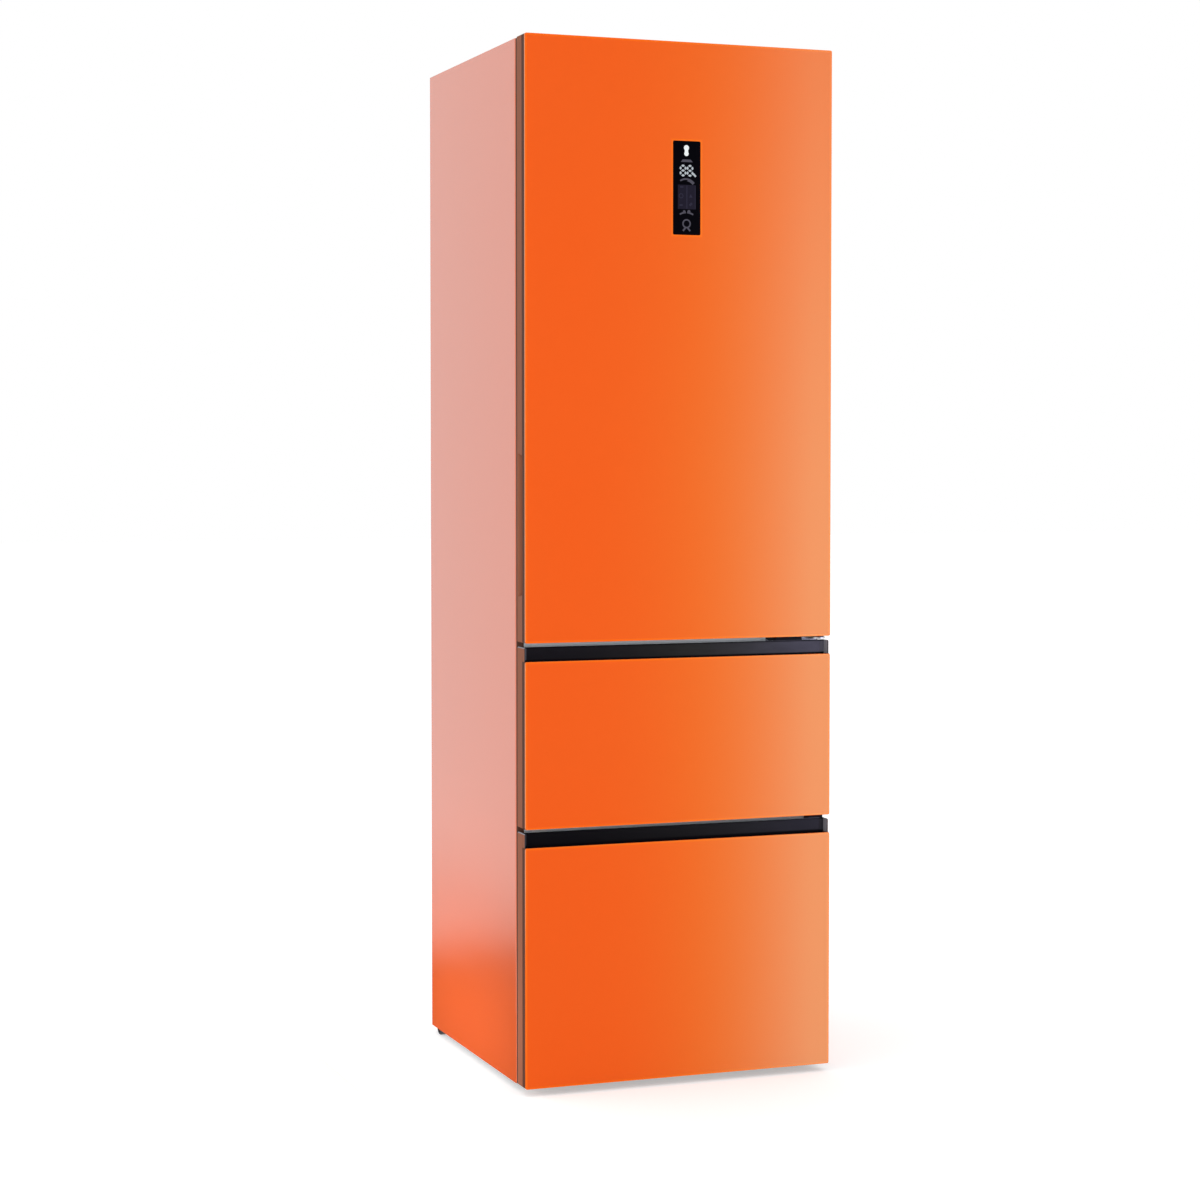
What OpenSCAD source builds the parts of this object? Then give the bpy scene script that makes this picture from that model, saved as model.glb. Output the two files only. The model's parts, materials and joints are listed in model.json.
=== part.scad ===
// Tall fridge freezer: one hinged fridge door above two freezer drawers.
// Millimetres, +Z up, front towards -Y, origin on the floor at the middle of the footprint.

/* [Overall] */
// Width across the side panels and the fronts
body_w = 595; // [560:1:640]
// Depth of a side panel, front edge to rear edge
panel_depth = 527; // [500:1:580]
// Floor to the underside of the cabinet and of the lower front
foot_gap = 14; // [12:1:22]
// Length of the spacers that hold the back off the wall
spacer_len = 45; // [20:1:60]
// Width of a wall spacer
spacer_w = 36; // [24:1:50]
// Height of a wall spacer
spacer_h = 60; // [45:1:80]
// Distance from the cabinet's top tray down to the wall spacers
spacer_drop = 60; // [40:1:120]

/* [Fronts] */
// Height of the fridge door
door_h = 1075; // [1000:1:1150]
// Height of the glass on the middle drawer
mid_glass_h = 299; // [270:1:340]
// Height of the glass on the lower drawer
lower_glass_h = 432; // [410:1:480]
// Height of the dark grip band above each drawer glass
grip_h = 25; // [20:0.5:34]
// Gap between one front and the next
front_gap = 8; // [7:0.5:12]
// Thickness of a front, glass included
front_t = 45; // [40:1:60]
// Space between the fronts and the cabinet that the gaskets fill
gasket_gap = 8; // [6:0.5:12]
// Thickness of the front glass
glass_t = 4; // [3:0.5:6]
// Corner radius of a front
front_r = 3; // [1:0.5:6]
// Height of the door top above the cabinet top
door_over = 2; // [0:0.5:6]
// Width of the frame members at the sides of a front
frame_w = 16; // [12:1:24]
// Height of the frame member at the foot of a front
frame_foot = 12; // [8:1:18]
// Height of the frame member at the head of the fridge door
frame_head = 42; // [40:1:60]
// Width of a gasket
gasket_w = 16; // [12:1:20]
// Inset of the gaskets from the edges of the fronts
gasket_in = 11; // [10.5:0.5:13]

/* [Grips] */
// Thickness of the lip between the glass and the finger channel
lip_t = 3; // [2:0.5:5]
// Width of the finger channel behind the glass
channel_w = 16; // [13:0.5:19]
// Depth of the finger channel below the top of the glass
channel_d = 18; // [14:0.5:26]
// Thickness of the grip's walls
grip_t = 3; // [2:0.5:5]
// Thickness of the caps that close the channel at the sides
cap_t = 2; // [1.5:0.5:4]
// Setback of those caps and the band behind the glass
cap_set = 3; // [1:0.5:5]
// Depth of the dark strip that holds the glass, at the sides of a front
trim_d = 14; // [8:1:20]
// Length of the grip recess in the door's side
side_grip_l = 255; // [180:1:320]
// Middle of the grip recess above the foot of the door
side_grip_z = 209; // [170:1:400]
// Depth of the grip recess into the door's side
side_grip_d = 13; // [8:0.5:14]

/* [Display] */
// Width of the display window
display_w = 53; // [40:1:90]
// Height of the display window
display_h = 168; // [120:1:220]
// Distance from the door top down to the display window
display_drop = 177; // [120:1:260]
// Distance of the display from the middle of the door
display_x = 10; // [-60:1:60]
// Depth of the display module
display_t = 12; // [8:1:18]

/* [Cabinet walls] */
// Thickness of the steel panels
panel_t = 1; // [0.6:0.1:2]
// Width of the folded front flange that the gaskets close on
flange_w = 30; // [28:1:36]
// Bend radius of the side panels
bend_r = 3; // [2:0.5:6]
// Thickness of the fridge side walls
fridge_wall = 45; // [40:1:60]
// Thickness of the freezer side walls
freezer_wall = 58; // [50:1:70]
// Thickness of the back wall behind the fridge space
back_wall = 50; // [40:1:70]
// Thickness of the top wall
top_wall = 45; // [40:1:60]
// Thickness of the floor wall under the freezer
floor_wall = 45; // [40:1:60]
// Height of the wall between fridge and freezer
partition_h = 64; // [58:1:80]
// Height of the crossbar between the two drawers
crossbar_h = 64; // [64:1:72]
// Depth of the crossbar
crossbar_d = 36; // [25:1:50]
// Thickness of the moulded liners
liner_t = 2; // [1.5:0.1:3]
// Corner radius of the fridge liner
fridge_r = 18; // [10:1:30]
// Corner radius of the freezer liner
freezer_r = 14; // [8:1:24]
// Depth of the tray in the cabinet's top
top_recess = 18; // [16:1:26]
// Height of the base frame
base_h = 24; // [22:1:30]

/* [Fridge space] */
// Height from the fridge floor to the first shelf
crisper_space = 222; // [180:1:260]
// Distance from one shelf to the next
shelf_pitch = 182; // [150:1:190]
// Thickness of the shelf glass
shelf_t = 4; // [3:0.5:6]
// Distance from the cabinet front to the shelf fronts
shelf_set = 106; // [104:1:130]
// Depth of the ledges that carry the shelves
ledge_d = 9; // [6:0.5:14]
// Height of the ledges that carry the shelves
ledge_h = 7; // [5:0.5:12]
// Height of the trims on the front and rear edges of a shelf
trim_h = 12; // [8:0.5:18]
// Height of the crisper drawer
crisper_h = 184; // [150:1:200]
// Wall of the crisper drawer
crisper_wall = 3; // [2:0.5:4]
// Width of the air duct on the rear wall
duct_w = 250; // [160:1:320]
// Thickness of the air duct
duct_t = 14; // [10:1:16]
// Width of the lamp in the ceiling
lamp_w = 160; // [100:1:240]

/* [Door storage] */
// Height of the raised rim on the inside of the door
dyke_h = 50; // [40:1:60]
// Width of the raised rim
dyke_w = 24; // [20:1:32]
// Clearance from the raised rim to the walls of the fridge space
dyke_gap = 9; // [8:1:14]
// Depth of a door shelf
bin_d = 99; // [80:1:100]
// Wall of a door shelf
bin_wall = 2.5; // [2:0.5:4]
// Height of the bottle shelf
bottle_bin_h = 130; // [90:1:160]
// Height of the two middle door shelves
bin_h = 80; // [60:1:110]
// Height of the dairy box
dairy_h = 88; // [70:1:95]
// Height of the second door shelf above the foot of the raised rim
bin_rise_2 = 304; // [250:1:320]
// Height of the third door shelf above the foot of the raised rim
bin_rise_3 = 524; // [460:1:540]
// Distance from the head of the raised rim down to the dairy box
dairy_drop = 200; // [180:1:230]
// Thickness of the dairy box lid
lid_t = 2.5; // [2:0.5:4]

/* [Freezer drawers] */
// Wall of the freezer baskets
basket_wall = 2.5; // [2:0.5:4]
// Space above the middle basket
mid_basket_gap = 42.5; // [30:0.5:80]
// Space above the lower basket
lower_basket_gap = 32.5; // [24:0.5:80]
// Height of the plateau on the inside of a drawer front
plateau_h = 20; // [10:1:30]
// Length of the telescopic rails
rail_l = 350; // [300:1:352]
// Height of the sliding tray in the middle basket
tray_h = 60; // [40:1:90]
// Depth of the sliding tray, front to back
tray_d = 170; // [120:1:200]
// Height of a rail
rail_h = 36; // [32:1:40]
// Sheet thickness of the rails
rail_t = 1.2; // [1:0.1:1.5]
// Gap from one rail member's flange to the next
rail_step = 3.8; // [3:0.1:4.2]

/* [Cold and compressor bay] */
// Height of the compressor bay
bay_h = 212; // [205:1:240]
// Depth of the compressor bay
bay_d = 185; // [175:1:200]
// Thickness of the wall between freezer and compressor bay
bay_wall = 50; // [40:1:60]
// Radius of the compressor pot
pot_r = 72; // [60:1:76]
// Height of the compressor pot
pot_h = 150; // [120:1:155]
// Radius of the refrigerant pipes
pipe_r = 4; // [3:0.5:5]
// Distance from the freezer's rear wall to the face of the evaporator cover
evaporator_d = 70; // [66:1:90]
// Radius of the evaporator fan
fan_r = 52; // [40:1:55]
// Middle of the fan below the freezer's ceiling
fan_drop = 96; // [80:1:110]
// Width of the power inlet
inlet_w = 60; // [50:1:80]
// Height of the power inlet
inlet_h = 52; // [45:1:70]
// Depth of the power inlet
inlet_d = 34; // [30:1:45]

/* [Hinges, feet and rollers] */
// Hinge axis to the side of the door
hinge_x = 16; // [14:0.5:20]
// Hinge axis to the face of the door
hinge_y = 20; // [19:0.5:24]
// Radius of the top hinge plate's nose
nose_r = 10; // [8:0.5:11]
// Thickness of the hinge plates
hinge_t = 3; // [2:0.5:4]
// Radius of the hinge pins
pin_r = 4; // [3:0.5:5]
// Radial running clearance of pins, feet and rollers
run_fit = 0.08; // [0.05:0.01:0.1]
// Radius of a foot pad
pad_r = 20; // [14:1:24]
// Radius of a foot's threaded stud
stud_r = 5; // [4:0.5:6]
// Radius of a rear roller
roller_r = 17; // [15:0.5:17.5]

/* [Hidden] */
$fn = 48;

// Small clearances
seam = 0.2;       // between panels that lie edge to edge
face_gap = 0.3;   // between a moving piece and what it rests on
seal_gap = 0.5;   // between a gasket and the face it closes on
rail_gap = 0.8;   // between nested rail webs

// Depth positions
depth_all = front_t + gasket_gap + panel_depth + spacer_len;
y_face = -depth_all / 2;             // face of the front glass
y_glass = y_face + glass_t;          // back of the front glass
y_door = y_face + front_t;           // back of the fronts
y_cab = y_door + gasket_gap;         // front of the cabinet
y_back = y_cab + panel_depth;        // back of the cabinet
y_wall = y_back + spacer_len;        // where the spacers meet the wall

// Heights
x_out = body_w / 2;
z_lower = foot_gap;
z_lower_glass = z_lower + lower_glass_h;
z_lower_top = z_lower_glass + grip_h;
z_mid = z_lower_top + front_gap;
z_mid_glass = z_mid + mid_glass_h;
z_mid_top = z_mid_glass + grip_h;
z_door = z_mid_top + front_gap;
z_top = z_door + door_h;
z_cab_top = z_top - door_over;
z_tray = z_cab_top - top_recess;     // upper face of the top panel
top_t = 2;
z_base_top = foot_gap + base_h;
z_partition = z_mid_top + front_gap / 2;
z_crossbar = z_lower_top + front_gap / 2;

// Fridge space
fridge_half = x_out - fridge_wall;
fridge_z0 = z_partition + partition_h / 2;
fridge_z1 = z_tray - top_wall;
fridge_rear = y_back - back_wall;
y_shelf = y_cab + shelf_set;
y_shelf_rear = fridge_rear - duct_t - 6;
shelf_half = fridge_half - 3;
function shelf_z(i) = fridge_z0 + crisper_space + i * shelf_pitch;

// Freezer space, stepped over the compressor bay
freezer_half = x_out - freezer_wall;
freezer_z0 = z_base_top + floor_wall;
freezer_z1 = z_partition - partition_h / 2;
freezer_rear = y_back - freezer_wall;
y_bay = y_back - bay_d;
z_bay = z_base_top + bay_h;
freezer_step_z = z_bay + bay_wall;
freezer_step_y = y_bay - bay_wall;
y_cover = freezer_rear - evaporator_d;
cover_t = 4;

// Compressor bay
floor_z = z_base_top - 6;            // floor of the bay, inside the base frame
pot_x = -70;
pot_y = (y_bay + y_back) / 2 - 2;
drip_h = 28;
filter_r = 11;
stub_l = 8;                           // pipe stubs on the pot: length beyond it, heights and places
stubs = [[-24, 56], [18, 112]];

// Door storage
dyke_half = fridge_half - dyke_gap;
dyke_z0 = fridge_z0 + dyke_gap;
dyke_z1 = fridge_z1 - dyke_gap;
bin_half = dyke_half - dyke_w - 0.5;
y_bin = y_door + 1;
y_bin_front = y_bin + bin_d;
boss_h = 9;
rim_r = 12;                           // corner radius on the inside of the raised rim
bin_z = [dyke_z0 + dyke_w + rim_r + boss_h, dyke_z0 + bin_rise_2, dyke_z0 + bin_rise_3,
         dyke_z1 - dyke_w - dairy_drop];
bin_heights = [bottle_bin_h, bin_h, bin_h, dairy_h];
lid_pin_r = 3;
lid_axis_y = y_bin + 7;
lid_axis_z = bin_z[3] + dairy_h + 5;

// Drawers: each is [foot, top of glass, top of band, basket floor, basket height, basket rear]
rail_w = 13;
z_rail_drop = 12;
basket_half = freezer_half - rail_w - 13;
y_basket = y_door + plateau_h + 3;
mid_rear = y_cover - 12;
lower_rear = freezer_step_y - 12;
mid_floor = z_crossbar + crossbar_h / 2 + 12;
lower_floor = freezer_z0 + 10;
mid_basket_h = freezer_z1 - mid_basket_gap - mid_floor;
lower_basket_h = z_crossbar - crossbar_h / 2 - lower_basket_gap - lower_floor;
mid_spec = [z_mid, z_mid_glass, z_mid_top, mid_floor, mid_basket_h, mid_rear];
lower_spec = [z_lower, z_lower_glass, z_lower_top, lower_floor, lower_basket_h, lower_rear];
function rail_z(spec) = spec[3] + spec[4] - z_rail_drop;
y_rail = y_cab + crossbar_d + 4;

// Hinges, feet and rollers
axis_x = x_out - hinge_x;
axis_y = y_face + hinge_y;
arm_in = 14;                          // arm of the top hinge, from the axis towards the middle
arm_out = 4;                          // and towards the side, clear of the glass when the door is open
flat_half = hinge_x - 2.5;            // half width of the middle hinge plate
pocket_z = z_tray - 2;
pocket_x = axis_x - arm_in - 12;
pin_l = 20;
foot_x = x_out - 46;
foot_y = y_cab + 34;
roller_x = x_out - 12;
roller_y = y_back - 34;
roller_w = 13;
axle_r = 2.5;
screw_r = 2.4;
screw_head_r = 4.6;
screw_head_h = 2;
back_screws = [for (i = [0:3]) z_bay + 40 + i * (z_tray - z_bay - 120) / 3];

// Basic shapes
module block(lo, hi) translate(lo) cube(hi - lo);
module along_x(x0, x1) translate([x0, 0, 0]) rotate([90, 0, 90]) linear_extrude(x1 - x0) children();
module along_y(y0, y1) translate([0, y1, 0]) rotate([90, 0, 0]) linear_extrude(y1 - y0) children();
module along_z(z0, z1) translate([0, 0, z0]) linear_extrude(z1 - z0) children();
module both_sides() for (m = [0, 1]) mirror([m, 0, 0]) children();

// Rectangle with round corners, from corner to corner
module round_rect(lo, hi, r) {
  translate([lo[0] + r, lo[1]]) square([hi[0] - lo[0] - 2 * r, hi[1] - lo[1]]);
  translate([lo[0], lo[1] + r]) square([hi[0] - lo[0], hi[1] - lo[1] - 2 * r]);
  for (x = [lo[0] + r, hi[0] - r], y = [lo[1] + r, hi[1] - r]) translate([x, y]) circle(r);
}

// Flat ring with round corners
module round_ring(lo, hi, r, w) difference() {
  round_rect(lo, hi, r);
  round_rect(lo + [w, w], hi - [w, w], max(r - w, 0.5));
}

// Block whose edges are round in all three directions
module soft_block(lo, hi, r) intersection() {
  along_z(lo[2], hi[2]) round_rect([lo[0], lo[1]], [hi[0], hi[1]], r);
  along_y(lo[1], hi[1]) round_rect([lo[0], lo[2]], [hi[0], hi[2]], r);
  along_x(lo[0], hi[0]) round_rect([lo[1], lo[2]], [hi[1], hi[2]], r);
}

// Tub with drafted walls: open at the top, smaller at the floor
module tub(lo, hi, r, draft, wall) {
  rim = 3;
  skin = 0.01;
  difference() {
    hull() {
      along_z(lo[2], lo[2] + skin) round_rect([lo[0], lo[1]] + [draft, draft], [hi[0], hi[1]] - [draft, draft], r);
      along_z(hi[2] - skin, hi[2]) round_rect([lo[0], lo[1]], [hi[0], hi[1]], r);
    }
    hull() {
      along_z(lo[2] + wall, lo[2] + wall + skin)
        round_rect([lo[0], lo[1]] + [draft + wall, draft + wall], [hi[0], hi[1]] - [draft + wall, draft + wall], r - wall / 2);
      along_z(hi[2], hi[2] + skin)
        round_rect([lo[0], lo[1]] + [wall, wall], [hi[0], hi[1]] - [wall, wall], r - wall / 2);
    }
  }
}

// Sheet metal
module side_panel() {
  color("lightsalmon") difference() {
    along_z(foot_gap, z_cab_top) intersection() {
      difference() {
        round_rect([-x_out, y_cab], [x_out, y_back], bend_r);
        round_rect([-x_out + panel_t, y_cab + panel_t], [x_out - panel_t, y_back - panel_t], bend_r - panel_t);
      }
      translate([x_out - flange_w, y_cab]) square([flange_w, panel_depth]);
    }
    block([x_out - flange_w - 1, y_cab - 1, z_tray], [x_out - bend_r, y_back - flange_w, z_cab_top + 1]);
    for (z = back_screws) translate([x_out - flange_w / 2, y_back - flange_w / 2, z]) rotate([-90, 0, 0])
      cylinder(r = screw_r + seam, h = flange_w, $fn = 24);
  }
}

module top_panel() color("gainsboro") {
  narrow = x_out - flange_w - seam;
  edge = panel_t + seam;
  along_z(z_tray - top_t, z_tray)
    round_rect([-x_out + edge, y_cab + edge], [x_out - edge, y_back - edge], bend_r);
  block([-narrow, y_cab, z_tray - top_t], [narrow, y_cab + 2 * panel_t, z_tray]);
  block([-narrow, y_cab, z_tray - flange_w], [narrow, y_cab + panel_t, z_tray]);
}

module back_panel() color("silver") {
  narrow = x_out - flange_w - seam;
  wide = x_out - panel_t - seam;
  block([-narrow, y_back - panel_t, z_bay - panel_t], [narrow, y_back, z_tray - top_t]);
  block([-wide, y_bay, z_bay - panel_t], [wide, y_back - panel_t - seam, z_bay]);
  block([-narrow, y_bay, z_bay - panel_t], [narrow, y_back - panel_t / 2, z_bay]);
  block([-wide, y_bay, z_base_top], [wide, y_bay + panel_t, z_bay]);
  bead_r = 5;
  for (x = [-0.55, 0, 0.55]) translate([x * narrow, 0, 0]) intersection() {
    along_z(z_bay + 60, z_tray - 90) translate([0, y_back - 3]) circle(bead_r);
    block([-bead_r, y_back - panel_t / 2, z_bay], [bead_r, y_back + bead_r, z_tray]);
  }
}

module base_frame() color("dimgray") {
  wide = x_out - panel_t - seam;
  narrow = x_out - flange_w - seam;
  rail_in = x_out - panel_t - seam - 20;
  wall = 2;
  plate_z = z_base_top - wall;
  difference() {
    union() {
      block([-wide, y_cab + bend_r, plate_z], [wide, y_bay, z_base_top]);
      block([-narrow, y_cab, foot_gap], [narrow, y_cab + panel_t, freezer_z0 - 3]);
      block([-narrow, y_cab, foot_gap], [narrow, y_cab + 60, foot_gap + wall]);
      block([-narrow, y_cab + 60 - wall, foot_gap], [narrow, y_cab + 60, z_base_top]);
      both_sides() {
        block([rail_in, y_cab + bend_r, foot_gap], [rail_in + wall, y_back - bend_r, z_base_top]);
        block([wide - wall, y_cab + bend_r, foot_gap], [wide, y_back - bend_r, z_base_top]);
        block([rail_in, y_bay - wall, plate_z], [wide, y_back - bend_r, z_base_top]);
        translate([foot_x, foot_y, foot_gap]) cylinder(r = stud_r + 4, h = base_h);
        translate([rail_in + wall / 2, roller_y, roller_r]) rotate([0, 90, 0])
          cylinder(r = axle_r, h = wide - rail_in - wall);
      }
      block([-rail_in - wall, y_bay - wall, floor_z - wall], [rail_in + wall, y_back - 8, floor_z]);
      block([-rail_in - wall, y_bay - wall, floor_z - wall], [rail_in + wall, y_bay, z_base_top]);
      block([-rail_in - wall, y_back - 10, floor_z - wall], [rail_in + wall, y_back - 8, z_base_top + 4]);
    }
    both_sides() translate([foot_x, foot_y, 0]) cylinder(r = stud_r + run_fit, h = z_base_top + 1);
  }
}

// Hollows of the cabinet; grow moves the walls out, round sets the corners
module fridge_space(grow, round)
  soft_block([-fridge_half - grow, y_cab - 60, fridge_z0 - grow], [fridge_half + grow, fridge_rear + grow, fridge_z1 + grow], round);
module freezer_space(grow, round) {
  soft_block([-freezer_half - grow, y_cab - 60, freezer_step_z - grow],
             [freezer_half + grow, freezer_rear + grow, freezer_z1 + grow], round);
  soft_block([-freezer_half - grow, y_cab - 60, freezer_z0 - grow],
             [freezer_half + grow, freezer_step_y + grow, freezer_step_z + 60 + grow], round);
}

module insulation_foam() color("khaki") difference() {
  along_z(z_base_top, z_tray - top_t)
    round_rect([-x_out + panel_t, y_cab + panel_t], [x_out - panel_t, y_back - panel_t], bend_r + 1);
  fridge_space(liner_t, fridge_r - 3);
  freezer_space(liner_t, freezer_r - 3);
  block([-x_out, y_bay, 0], [x_out, y_back + 1, z_bay]);
}

module front_rim(z0, z1) {
  narrow = x_out - flange_w - seam;
  along_y(y_cab, y_cab + panel_t) translate([-narrow, z0]) square([2 * narrow, z1 - z0]);
}

module fridge_liner() color("whitesmoke") {
  difference() {
    union() {
      intersection() {
        fridge_space(liner_t, fridge_r + liner_t);
        block([-x_out, y_cab, 0], [x_out, y_back, z_top]);
      }
      front_rim(fridge_z0 + seam, z_tray - flange_w - seam);
    }
    fridge_space(0, fridge_r);
  }
  both_sides() for (i = [0:3])
    block([fridge_half - ledge_d, y_shelf + 12, shelf_z(i) - ledge_h],
          [fridge_half + liner_t / 2, y_shelf_rear - 10, shelf_z(i)]);
}

module freezer_liner() color("whitesmoke") {
  difference() {
    union() {
      intersection() {
        freezer_space(liner_t, freezer_r + liner_t);
        block([-x_out, y_cab, 0], [x_out, y_back, z_top]);
      }
      front_rim(freezer_z0 - 3 + seam, freezer_z1 - seam);
    }
    freezer_space(0, freezer_r);
  }
}

module front_mullions() color("gainsboro") {
  narrow = x_out - flange_w - seam;
  block([-narrow, y_cab, freezer_z1 + liner_t + seam], [narrow, y_cab + panel_t, fridge_z0 - liner_t - seam]);
  lip = 14;
  z0 = z_crossbar - crossbar_h / 2;
  z1 = z_crossbar + crossbar_h / 2;
  along_x(-freezer_half, freezer_half) difference() {
    translate([y_cab, z0]) square([crossbar_d, crossbar_h]);
    translate([y_cab + 2, z0 + lip]) square([crossbar_d, crossbar_h - 2 * lip]);
  }
}

// Compressor bay
module compressor() {
  foot_h = 12;
  span_x = 88;
  span_y = 58;
  dome = pot_r * 0.62;
  translate([pot_x, pot_y, floor_z]) {
    color("black") for (x = [-span_x, span_x], y = [-span_y, span_y]) translate([x, y, 0]) difference() {
      cylinder(r = 10, h = foot_h);
      rotate_extrude() translate([11, foot_h / 2]) circle(2.5, $fn = 24);
    }
    color("dimgray") translate([0, 0, foot_h]) along_z(0, 3) {
      for (y = [-span_y, span_y]) round_rect([-span_x - 14, y - 12], [span_x + 14, y + 12], 8);
      round_rect([-30, -span_y], [30, span_y], 4);
    }
    color("black") translate([0, 0, foot_h + 3]) {
      rotate_extrude() intersection() {
        union() {
          translate([0, 10]) square([pot_r, pot_h - dome - 10]);
          square([pot_r - 10, 12]);
          translate([pot_r - 10, 10]) circle(10);
          translate([0, pot_h * 0.5]) round_rect([0, 0], [pot_r + 4, 7], 1.5);
          translate([pot_r - dome, pot_h - dome]) circle(dome);
          translate([0, pot_h - dome]) square([pot_r - dome, dome]);
        }
        square([pot_r + 5, pot_h]);
      }
      soft_block([pot_r - 8, -26, 42], [pot_r + 30, 26, 98], 5);
      for (s = stubs) translate([-pot_r - stub_l, s[0], s[1] - foot_h - 3]) rotate([0, 90, 0])
        cylinder(r = pipe_r + 1.5, h = stub_l + pot_r / 2, $fn = 24);
    }
  }
}

module drip_tray() color("whitesmoke") {
  z0 = floor_z + 15 + pot_h;
  lo = [pot_x - 88, pot_y - 62];
  hi = [pot_x + 88, pot_y + 62];
  difference() {
    union() {
      along_z(z0, z0 + drip_h) round_rect(lo, hi, 14);
      along_z(z0 + drip_h - 2, z0 + drip_h) round_rect(lo - [5, 5], hi + [5, 5], 18);
    }
    along_z(z0 + 2, z0 + drip_h + 1) round_rect(lo + [2, 2], hi - [2, 2], 12);
  }
}

// Pipe along points whose runs are square to each other, with round elbows
module pipe(points) {
  bend = 12;
  last = len(points) - 1;
  for (i = [0:last - 1]) {
    way = (points[i + 1] - points[i]) / norm(points[i + 1] - points[i]);
    a = points[i] + (i > 0 ? bend : 0) * way;
    b = points[i + 1] - (i < last - 1 ? bend : 0) * way;
    translate(a) rotate([0, acos(way[2]), atan2(way[1], way[0])]) cylinder(r = pipe_r, h = norm(b - a), $fn = 24);
  }
  if (last > 1) for (i = [1:last - 1]) {
    a = (points[i] - points[i - 1]) / norm(points[i] - points[i - 1]);
    b = (points[i + 1] - points[i]) / norm(points[i + 1] - points[i]);
    c = points[i] - bend * a + bend * b;
    n = cross(a, b);
    multmatrix([[-b[0], a[0], n[0], c[0]], [-b[1], a[1], n[1], c[1]], [-b[2], a[2], n[2], c[2]], [0, 0, 0, 1]])
      rotate_extrude(angle = 90, $fn = 64) translate([bend, 0]) circle(pipe_r, $fn = 24);
  }
}

module refrigerant_pipes() {
  ceiling = z_bay - panel_t;
  side = pot_x - pot_r - stub_l;
  leg = pot_x + 160;
  color("peru") {
    for (i = [0, 1]) {
      y = pot_y + stubs[i][0];
      z = floor_z + stubs[i][1];
      x = side - 26 - i * 24;
      pipe([[side, y, z], [x, y, z], [x, y, ceiling]]);
    }
    pipe([[leg, pot_y - 20, ceiling], [leg, pot_y - 20, floor_z + 40], [leg, pot_y + 30, floor_z + 40], [leg, pot_y + 30, ceiling]]);
    // Filter drier on the rear leg
    translate([leg, pot_y + 30, 0]) rotate_extrude() polygon([
      [0, floor_z + 78], [pipe_r + 1, floor_z + 78], [filter_r, floor_z + 90],
      [filter_r, floor_z + 160], [pipe_r + 1, floor_z + 172], [0, floor_z + 172]]);
  }
}

module power_inlet() {
  // The socket and its pins have standard sizes
  px = x_out - 100;
  y1 = y_back - 14;
  zm = floor_z + inlet_h / 2;
  color("black") difference() {
    soft_block([px - inlet_w / 2, y1 - inlet_d, floor_z], [px + inlet_w / 2, y1, floor_z + inlet_h], 3);
    along_y(y1 - 16, y1 + 1) round_rect([px - 12, zm - 9], [px + 12, zm + 8], 3);
  }
  color("silver") for (x = [-7, 0, 7]) {
    z = zm - (x == 0 ? 1 : 6);
    block([px + x - 1, y1 - 17, z], [px + x + 1, y1 - 4, z + 4]);
  }
}

module wall_spacers() color("dimgray") both_sides() {
  sx = x_out * 0.62;
  z1 = z_tray - spacer_drop;
  face_h = spacer_h * 0.4;
  wall = 4;
  rib = 3;
  along_x(sx - spacer_w / 2, sx + spacer_w / 2) difference() {
    polygon([[y_back, z1 - spacer_h], [y_back, z1], [y_wall, z1], [y_wall, z1 - face_h]]);
    polygon([[y_back + wall, z1 - spacer_h + 3.5 * wall], [y_back + wall, z1 - wall],
             [y_wall - wall, z1 - wall], [y_wall - wall, z1 - face_h + wall]]);
  }
  along_x(sx - rib / 2, sx + rib / 2)
    polygon([[y_back, z1 - spacer_h + 1], [y_back, z1 - 1], [y_wall - 1, z1 - 1], [y_wall - 1, z1 - face_h + 1]]);
}

// Door hinges
flange_t = 2.5;
flange_screws = [x_out - 94, x_out - 64];
top_screws = [[axis_x - 66, y_cab + 16], [axis_x - 66, y_cab + 42], [axis_x - 20, y_cab + 42]];
module top_hinge() color("silver") {
  difference() {
    union() {
      along_z(z_tray, z_tray + hinge_t) {
        translate([axis_x, axis_y]) circle(nose_r);
        translate([axis_x - arm_in, axis_y]) square([arm_in + arm_out, y_cab + 54 - axis_y]);
        round_rect([axis_x - 78, y_cab + 4], [axis_x + arm_out, y_cab + 54], 4);
      }
      translate([axis_x, axis_y, z_tray - pin_l]) cylinder(r = pin_r, h = pin_l + hinge_t + 2);
    }
    for (p = top_screws) translate([p[0], p[1], z_tray - 1]) cylinder(r = screw_r + seam, h = hinge_t + 2);
  }
}

module middle_hinge() color("silver") {
  plate_z = z_mid_top + (front_gap - hinge_t) / 2;
  flange_z = front_gap + 7;
  along_z(plate_z, plate_z + hinge_t) {
    translate([axis_x, axis_y]) circle(flat_half);
    translate([axis_x - flat_half, axis_y]) square([2 * flat_half, y_cab - axis_y]);
    translate([axis_x - flat_half - 22, y_door]) square([30, gasket_gap]);
  }
  difference() {
    block([x_out - 108, y_cab - flange_t, z_partition - flange_z / 2], [x_out - 5, y_cab, z_partition + flange_z / 2]);
    for (x = flange_screws) translate([x, y_cab - flange_t - 1, z_partition]) rotate([-90, 0, 0])
      cylinder(r = screw_r + seam, h = flange_t + 2);
  }
  translate([axis_x, axis_y, plate_z]) cylinder(r = pin_r, h = pin_l + hinge_t);
}

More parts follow.
